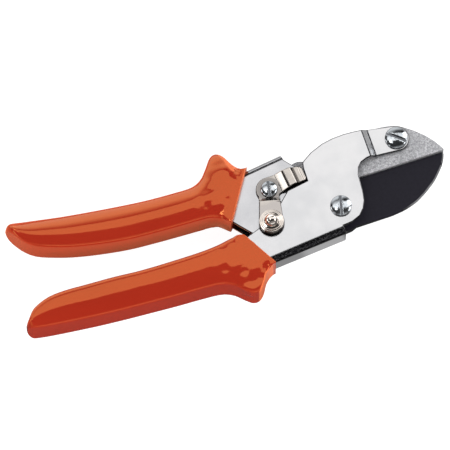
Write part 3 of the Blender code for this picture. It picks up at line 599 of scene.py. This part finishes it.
def small_hardware():
    """Nuts, washers, spacers, rivet, stud and bush keep their CAD shape."""
    for node in ("pivot_nut", "pivot_washer_front", "pivot_washer_rear", "blade_spacer_front",
                 "blade_spacer_rear", "blade_rivet", "anvil_nut", "latch_nut", "spring_stud"):
        paint(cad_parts[node], ZINC)
    paint(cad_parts["pivot_bush"], BRONZE)


# Latch

HUB_RADIUS = 0.0061
HUB_TOP = 0.0159           # top of the hub's sheet
PAD_RADIUS = 0.0060
KNOB_AT = (-0.0330, 0.0022)
LATCH_SHEET = 0.0012

# Reach from the latch's axis and height over the hub, in millimetres
HOOK_STEPS = [(4.7, 0), (5.2, 0.13), (8.0, 2.18), (8.6, 2.60), (9.5, 2.96), (10.0, 3.04), (12.2, 3.04),
              (12.7, 2.86), (13.6, 1.60), (14.1, 1.48), (15.7, 1.54), (16.4, 1.36), (17.0, 0.90)]
THUMB_STEPS = [(4.0, 0.0), (4.3, 0.14), (5.5, 1.10), (5.8, 1.40), (6.4, 3.05), (6.7, 3.30)]


def arc(centre, radius, start, end, count):
    """Points on an arc, in degrees, both ends included."""
    spots = []
    for i in range(count):
        turn = math.radians(start + (end - start) * i / (count - 1))
        spots.append((centre[0] + radius * math.cos(turn), centre[1] + radius * math.sin(turn)))
    return spots


def from_latch(*spots):
    """Places given in millimetres from the latch's axis."""
    return [(LATCH_AT.x + x * MM, LATCH_AT.y + y * MM) for x, y in spots]


def step_along(piece, direction, steps):
    """Bends a flat sheet in steps: it is cut across at each reach and lifted to each height."""
    for reach, height in steps:
        bpy.ops.mesh.select_all(action="SELECT")
        bpy.ops.mesh.bisect(plane_co=LATCH_AT + direction * reach * MM, plane_no=direction)
    for (before, low), (reach, high) in zip(steps, steps[1:]):
        middle = (before + reach) / 2 * MM
        pick(piece, lambda co: (co - LATCH_AT).dot(direction) > middle, "VERT")
        bpy.ops.transform.translate(value=(0, 0, (high - low) * MM))


def bent_latch():
    """Nickelled sheet: round hub, thumb arm stepped up to its knob, hook arm humped over the notch."""
    outline = arc(LATCH_AT, HUB_RADIUS, start=98, end=200, count=14)
    outline += from_latch((-6.1, -3.5), (-6.7, -5.8))
    outline += arc(KNOB_AT, PAD_RADIUS, start=180, end=370, count=26)
    outline += from_latch((3.0, -7.1), (3.1, -5.2), (3.8, -3.8))
    outline += from_latch((5.2, -3.1), (17.1, -1.3), (17.8, -0.9), (18.1, -0.1), (17.6, 4.8), (17.2, 5.6),
                          (16.4, 6.1), (13.0, 6.6), (9.7, 6.3))
    sheet = drawn_line("bent_latch", [Vector((x, y, HUB_TOP)) for x, y in outline])
    bpy.ops.mesh.edge_face_add()
    step_along(sheet, THUMB_ALONG, THUMB_STEPS)
    step_along(sheet, HOOK_ALONG, HOOK_STEPS)
    bpy.ops.mesh.select_all(action="SELECT")
    bpy.ops.mesh.normals_make_consistent(inside=False)
    thickness = sheet.modifiers.new("sheet", "SOLIDIFY")
    thickness.thickness = LATCH_SHEET
    thickness.offset = -1
    thickness.use_even_offset = True
    round_edges(sheet, width=0.00045, segments=3, angle=60)
    hold(sheet, "latch", NICKEL, "latch", smooth=40)


def latch_knob():
    """A round-topped button on a skirt of three rounded rings, riveted through the thumb pad. Its half
    outline is drawn as radius and height in millimetres, then spun round."""
    profile = [(0.0, 24.1), (0.7, 24.04), (1.4, 23.82), (2.05, 23.42), (2.6, 22.88), (3.0, 22.24),
               (3.18, 21.7), (3.2, 21.3), (3.3, 21.1), (3.5, 21.02)]
    for r, z in ((3.6, 20.98), (4.3, 20.56), (5.0, 20.14)):
        profile += [(r, z), (r + 0.42, z - 0.02), (r + 0.56, z - 0.08), (r + 0.62, z - 0.20),
                    (r + 0.64, z - 0.34)]
    profile += [(5.64, 19.3), (1.5, 19.3), (1.5, 18.0), (0.0, 18.0)]
    spots = [Vector((KNOB_AT[0] + r * MM, KNOB_AT[1], z * MM)) for r, z in profile]
    knob = drawn_line("ringed_latch_knob", spots)
    bpy.ops.mesh.spin(steps=64, angle=2 * math.pi, center=(*KNOB_AT, 0), axis=(0, 0, 1), use_auto_merge=True)
    bpy.ops.mesh.select_all(action="SELECT")
    bpy.ops.mesh.remove_doubles(threshold=MERGE_WITHIN)
    bpy.ops.mesh.normals_make_consistent(inside=False)
    bpy.ops.object.mode_set(mode="OBJECT")
    hold(knob, "latch", KNOB, "latch_knob", smooth=38, level=False)


# Grips

GRIP_HALF_T = 0.0084       # half of a grip's thickness, without its crown
SLICE = 0.0026             # from one slice of a grip to the next, on its handle
HORN_SLICE = 0.0011
TAIL_SLICE = 0.00035
TAIL_SHARE = 0.22          # of the way to the tail, where the slices get closer
TAIL_ROUND = 0.0032        # length over which a grip's thickness rounds off at its tail
TAIL_LEAST = 0.03          # square of the share of its thickness that is left there
FACE_WIDTH = 16.0          # width of a grip in millimetres for which its lean is given
FACE_STEPS = 26
RIM = 0.0004               # depth of the rim of a grip's mouth
RIM_SHARE = 0.955          # its size, as a share of the mouth
BACK_STEPS = 6             # in which a grip's back is thinned towards its mouth
BACK_FROM = -0.0120        # place of the first one, from the cut
BACK_PACE = 0.0018
LIP_STEPS = 3              # in which its crest is pressed down to a lip
LIP_FROM = -0.0036
LIP_PACE = 0.0010
LIP_ABOVE = 0.70           # share of a grip's half thickness above which its crest is pressed down
LIP_CROWN = 0.8            # share of the crown where the lip lies

# Edges of the grips, from past the mouth, where cut_mouth cuts them off, to the tail
LOWER_TOP = [(-0.0300, 0.0000), (-0.0474, 0.0006), (-0.0495, 0.0012), (-0.0525, 0.0011), (-0.0555, 0.0006),
             (-0.0585, 0.0000), (-0.0640, -0.0006), (-0.0705, -0.0009), (-0.0860, -0.0009),
             (-0.0980, -0.0006), (-0.1100, 0.0003), (-0.1225, 0.0008), (-0.1340, 0.0012), (-0.1420, 0.0004),
             (-0.1495, -0.0028), (-0.1533, -0.0070), (-0.1551, -0.0086)]
LOWER_BOTTOM = [(-0.0300, -0.0172), (-0.0374, -0.0172), (-0.0402, -0.0182), (-0.0432, -0.0208),
                (-0.0458, -0.0250), (-0.0486, -0.0274), (-0.0518, -0.0273), (-0.0550, -0.0247),
                (-0.0586, -0.0213), (-0.0635, -0.0190), (-0.0715, -0.0182), (-0.0850, -0.0177),
                (-0.0980, -0.0170), (-0.1100, -0.0163), (-0.1220, -0.0154), (-0.1330, -0.0143),
                (-0.1420, -0.0133), (-0.1490, -0.0123), (-0.1530, -0.0113), (-0.1551, -0.0098)]
UPPER_TOP = [(-0.0300, 0.0324), (-0.0353, 0.0325), (-0.0384, 0.0331), (-0.0410, 0.0360), (-0.0436, 0.0410),
             (-0.0466, 0.0432), (-0.0498, 0.0421), (-0.0532, 0.0378), (-0.0570, 0.0335), (-0.0620, 0.0312),
             (-0.0705, 0.0311), (-0.0840, 0.0317), (-0.0970, 0.0330), (-0.1100, 0.0346), (-0.1230, 0.0364),
             (-0.1340, 0.0383), (-0.1415, 0.0396), (-0.1455, 0.0403), (-0.1480, 0.0403), (-0.1499, 0.0392)]
UPPER_BOTTOM = [(-0.0300, 0.0030), (-0.0510, 0.0082), (-0.0526, 0.0098), (-0.0543, 0.0116),
                (-0.0559, 0.0127), (-0.0596, 0.0136), (-0.0640, 0.0139), (-0.0735, 0.0142),
                (-0.0840, 0.0146), (-0.0970, 0.0154), (-0.1100, 0.0173), (-0.1220, 0.0198),
                (-0.1315, 0.0227), (-0.1400, 0.0263), (-0.1445, 0.0304), (-0.1472, 0.0344),
                (-0.1499, 0.0384)]

# Lean of the grips' faces: millimetres from the upper edge, degrees that the face looks up
UPPER_LEAN = [(1.2, 38), (5.2, 17), (6.8, 11), (9.3, 0), (10.4, -6.6), (14.6, -11)]
LOWER_LEAN = [(0.9, 36), (1.7, 18), (2.3, 11), (4.2, 5), (6.6, 0), (8.5, -6.6), (14.9, -11)]


def line_height(line, x):
    """Height of a drawn line at x, with a smooth curve between its points."""
    for i in range(len(line) - 1):
        (x1, y1), (x2, y2) = line[i], line[i + 1]
        if x1 >= x >= x2:
            x0, y0 = line[max(i - 1, 0)]
            x3, y3 = line[min(i + 2, len(line) - 1)]
            run = x2 - x1
            rise_1 = (y2 - y0) / (x2 - x0) * run
            rise_2 = (y3 - y1) / (x3 - x1) * run
            t = (x - x1) / run
            eased = t * t * (3 - 2 * t)
            return y1 + (y2 - y1) * eased + rise_1 * t * (1 - t) ** 2 - rise_2 * t * t * (1 - t)
    return line[-1][1]


def slices(first, last, horn_end):
    """X of the slices: evenly apart on the handle, closer at the horn and towards the round tail."""
    places = [first]
    while places[-1] > last + 2 * NEAR:
        x = places[-1]
        pace = HORN_SLICE if x > horn_end else min(SLICE, max(TAIL_SLICE, TAIL_SHARE * (x - last)))
        places.append(max(x - pace, last))
    return places


def round_edge(reach, lean, steps):
    """The round edge of a grip, from the face outwards: millimetres short of the edge, millimetres below the
    end of the face."""
    lean = math.radians(lean)
    radius = reach / (1 - math.sin(lean))
    turns = [lean + (math.pi / 2 - lean) * step / steps for step in range(1, steps + 1)]
    return [(radius * (1 - math.sin(turn)), radius * (math.cos(lean) - math.cos(turn))) for turn in turns]


def half_section(lean):
    """Front half of a grip's cross-section, worked out from the lean of its face: share of the width from the
    upper edge, metres below the crest."""
    start, first_lean = lean[0]
    end, last_lean = lean[-1]
    face = []
    height = 0.0
    before = start
    for step in range(FACE_STEPS + 1):
        here = start + (end - start) * step / FACE_STEPS
        passed = [pair for pair in zip(lean, lean[1:]) if pair[0][0] <= here + NEAR]
        (above, lean_1), (below, lean_2) = passed[-1]
        tilt = lean_1 + (lean_2 - lean_1) * (here - above) / (below - above)
        height += math.tan(math.radians(tilt)) * (here - before)
        before = here
        face.append((here, height))
    crest = max(height for here, height in face)
    upper = [(short, face[0][1] - drop) for short, drop in reversed(round_edge(start, first_lean, steps=8))]
    lower = [(FACE_WIDTH - short, face[-1][1] - drop)
             for short, drop in round_edge(FACE_WIDTH - end, -last_lean, steps=7)]
    return [(across / FACE_WIDTH, (crest - height) * MM) for across, height in upper + face + lower]


def tail_share(left):
    """Share of a grip's thickness at that distance from its tail's end."""
    return math.sqrt(max(1 - max(1 - left / TAIL_ROUND, 0) ** 2, TAIL_LEAST))


def drawn_out_grip(name, top_line, bottom_line, lean, crest, horn_end):
    """A grip drawn out slice by slice from its cross-section, from past its mouth to its tail."""
    first = top_line[0][0]
    last = top_line[-1][0]
    top = line_height(top_line, first)
    bottom = line_height(bottom_line, first)
    front = [(top + (bottom - top) * share, crest - below) for share, below in half_section(lean)]
    outline = front + [(y, -z) for y, z in reversed(front)]
    grip = drawn_line(name, [Vector((first, y, MIDDLE_Z + z)) for y, z in outline])
    bpy.ops.mesh.edge_face_add()
    bpy.ops.mesh.select_all(action="SELECT")
    middle = Vector((first, (top + bottom) / 2, MIDDLE_Z))
    width = top - bottom
    depth = 1.0
    for x in slices(first, last, horn_end)[1:]:
        top = line_height(top_line, x)
        bottom = line_height(bottom_line, x)
        target = Vector((x, (top + bottom) / 2, MIDDLE_Z))
        bpy.ops.mesh.extrude_region_move(TRANSFORM_OT_translate={"value": target - middle})
        growth = (1, (top - bottom) / width, tail_share(x - last) / depth)
        bpy.ops.transform.resize(value=growth, center_override=target)
        middle = target
        width = top - bottom
        depth = tail_share(x - last)
    bpy.ops.mesh.select_all(action="SELECT")
    bpy.ops.mesh.normals_make_consistent(inside=False)
    return grip


def cut_mouth(grip, corner, normal, crown, back_share, rim_centre):
    """Cuts a grip off square to the steel, down from the mouth's upper corner. Towards the cut its back is
    thinned to a share in small steps, and its crest is pressed down to a lip. The cut face gets a rim, which
    is scaled about a place that far up the cut from the corner."""
    bpy.ops.mesh.bisect(plane_co=corner, plane_no=normal, clear_outer=True, use_fill=True)
    out = normal.normalized()
    for step in range(BACK_STEPS):
        start = BACK_FROM + BACK_PACE * step
        pick(grip, lambda co: (co - corner).dot(out) > start and co.z < MIDDLE_Z, "VERT")
        thinner = (1, 1, back_share ** (1 / BACK_STEPS))
        bpy.ops.transform.resize(value=thinner, center_override=(0, 0, MIDDLE_Z))
    high = MIDDLE_Z + (GRIP_HALF_T + crown) * LIP_ABOVE
    lip = (0, 0, MIDDLE_Z + GRIP_HALF_T + crown * LIP_CROWN)
    for step in range(LIP_STEPS):
        start = LIP_FROM + LIP_PACE * step
        pick(grip, lambda co: (co - corner).dot(out) > start and co.z > high, "VERT")
        bpy.ops.transform.resize(value=(1, 1, 0.5), center_override=lip)
    pick(grip, lambda co, facing: facing.dot(out) > 0.99 and abs((co - corner).dot(out)) < NEAR)
    bpy.ops.mesh.extrude_region_move(TRANSFORM_OT_translate={"value": out * RIM})
    centre = corner + out * RIM + Vector((-out.y, out.x, 0)) * rim_centre
    bpy.ops.transform.resize(value=(RIM_SHARE, RIM_SHARE, RIM_SHARE), center_override=centre)


def dipped_grip(name, lines, lean, crown, horn_end, mouth, normal, back_share, rim_centre):
    grip = drawn_out_grip(name, *lines, lean, GRIP_HALF_T + crown, horn_end)
    corner = Vector((*mouth, MIDDLE_Z))
    cut_mouth(grip, corner, Vector((*normal, 0)), crown, back_share, rim_centre)
    bpy.ops.object.mode_set(mode="OBJECT")
    return grip


def grips():
    """Both dipped grips. The rim of the lower mouth is drawn in, and the upper mouth's corner flares."""
    lower = dipped_grip("lower_grip", (LOWER_TOP, LOWER_BOTTOM), LOWER_LEAN, crown=0.00120, horn_end=-0.062,
                        mouth=(-0.0474, 0.0006), normal=(0.872, 0.490), back_share=0.9, rim_centre=-0.0100)
    upper = dipped_grip("upper_grip", (UPPER_TOP, UPPER_BOTTOM), UPPER_LEAN, crown=0.00115, horn_end=-0.064,
                        mouth=(-0.0353, 0.0325), normal=(0.848, -0.530), back_share=0.66, rim_centre=0.0100)
    hold(lower, "anvil_side", VINYL, "anvil_lever_grip", smooth=40)
    hold(upper, "blade_side", VINYL, "blade_lever_grip", smooth=40)


# Return spring

SPRING_TURNS = 11
SPRING_WIRE_R = 0.0004
SPRING_COIL_R = 0.0024     # from the spring's axis to the middle of the wire
SPRING_SIDES = 12          # of the wire
SPRING_STEPS = 28          # in one turn


def coil_spring():
    """Round wire wound up between the stud on the web and the spur on the blade's tang."""
    low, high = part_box("return_spring")
    axis_x = (low.x + high.x) / 2
    rise = high.y - low.y - 2 * SPRING_WIRE_R
    bpy.ops.object.select_all(action="DESELECT")
    bpy.ops.mesh.primitive_circle_add(vertices=SPRING_SIDES, radius=SPRING_WIRE_R, fill_type="NOTHING")
    spring = bpy.context.object
    spring.name = "wound_return_spring"
    bpy.ops.object.mode_set(mode="EDIT")
    bpy.ops.mesh.select_all(action="SELECT")
    bpy.ops.transform.rotate(value=math.pi / 2, orient_axis="X", center_override=(0, 0, 0))
    bpy.ops.transform.translate(value=(SPRING_COIL_R, 0, 0))
    bpy.ops.object.mode_set(mode="OBJECT")
    winding = spring.modifiers.new("winding", "SCREW")
    winding.axis = "Z"
    winding.steps = SPRING_STEPS
    winding.render_steps = SPRING_STEPS
    winding.angle = 2 * math.pi
    winding.screw_offset = rise / SPRING_TURNS
    winding.iterations = SPRING_TURNS
    winding.use_smooth_shade = True
    bpy.ops.object.modifier_apply(modifier=winding.name)
    bpy.ops.object.mode_set(mode="EDIT")
    bpy.ops.mesh.select_all(action="SELECT")
    bpy.ops.mesh.fill_holes(sides=SPRING_SIDES)
    bpy.ops.mesh.normals_make_consistent(inside=False)
    bpy.ops.object.mode_set(mode="OBJECT")
    spring.rotation_euler = (-math.pi / 2, 0, 0)
    spring.location = (axis_x, low.y + SPRING_WIRE_R, MIDDLE_Z)
    hold(spring, None, WIRE, "return_spring", smooth=60)
    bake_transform(spring)


# Table and room

TABLE_SIZE = 4.0
TABLE_Z = -0.0002


def table():
    """A white table. Seen mirrored in metal and vinyl it glows as painted reflections: dim, brighter beside
    the web and its fold and behind the levers, and a warm orange painted bounce under the upper grip."""
    bpy.ops.object.select_all(action="DESELECT")
    bpy.ops.mesh.primitive_plane_add(size=TABLE_SIZE, location=(0, 0, TABLE_Z))
    top = bpy.context.object
    top.name = "table"
    finish = Finish("white_table", Roughness=0.9)
    straight = finish.given("ShaderNodeLightPath", "Is Camera Ray")
    mirrored = (finish.given("ShaderNodeLightPath", "Is Glossy Ray")
                + finish.given("ShaderNodeLightPath", "Is Transmission Ray"))
    x, y = finish.place()[:2]
    # painted reflections: for mirrored rays these patches of the table glow brighter, warm orange under the
    # upper grip
    web = x.step(-0.042, -0.036) * (1.0 - x.step(-0.002, 0.002)) * (y - 0.12 * x).step(-0.026, -0.018)
    fold = web * x.step(-0.024, -0.018)
    upper_grip = (1.0 - x.step(-0.050, -0.044)) * y.step(-0.006, 0.0)
    behind = (1.0 - x.step(-0.022, -0.012)) * (y + 0.13 * x).step(0.018, 0.024)
    plain = finish.mix(straight, (0.75, 0.75, 0.75), (0.3, 0.3, 0.3))
    finish.feed("Base Color", finish.mix(mirrored, plain, (0, 0, 0)))
    finish.feed("Emission Color", finish.mix(mirrored * upper_grip, (1, 1, 1), (1.0, 0.40, 0.22)))
    shine = 0.10 + 0.34 * web + 0.26 * fold + 0.70 * upper_grip + 0.45 * behind
    finish.feed("Emission Strength", 0.95 * straight + mirrored * shine)
    paint(top, finish.material)


def set_world():
    """A dim room, bright beyond the table and a little less dim behind the viewer, and plain white where the
    camera looks past the table."""
    world = bpy.data.worlds.new("studio")
    bpy.context.scene.world = world
    world.use_nodes = True
    room = Nodes(world.node_tree, "Background")
    y = room.parts(room.given("ShaderNodeTexCoord", "Generated"))[1]
    beyond = 0.04 + 1.96 * y.step(0.58, 0.86)
    behind = 0.34 * (1.0 - y.step(-0.66, -0.36))
    straight = room.given("ShaderNodeLightPath", "Is Camera Ray")
    room.feed("Color", (1, 1, 1))
    room.feed("Strength", beyond.maths("MAXIMUM", behind).maths("MAXIMUM", straight))


# All together

set_camera()
bpy.context.scene.view_settings.view_transform = "Standard"
set_world()
set_lamps()
table()
small_hardware()
levers()
coated_blade()
cast_anvil()
slotted_screws()
bent_latch()
latch_knob()
grips()
coil_spring()
bpy.context.view_layer.update()
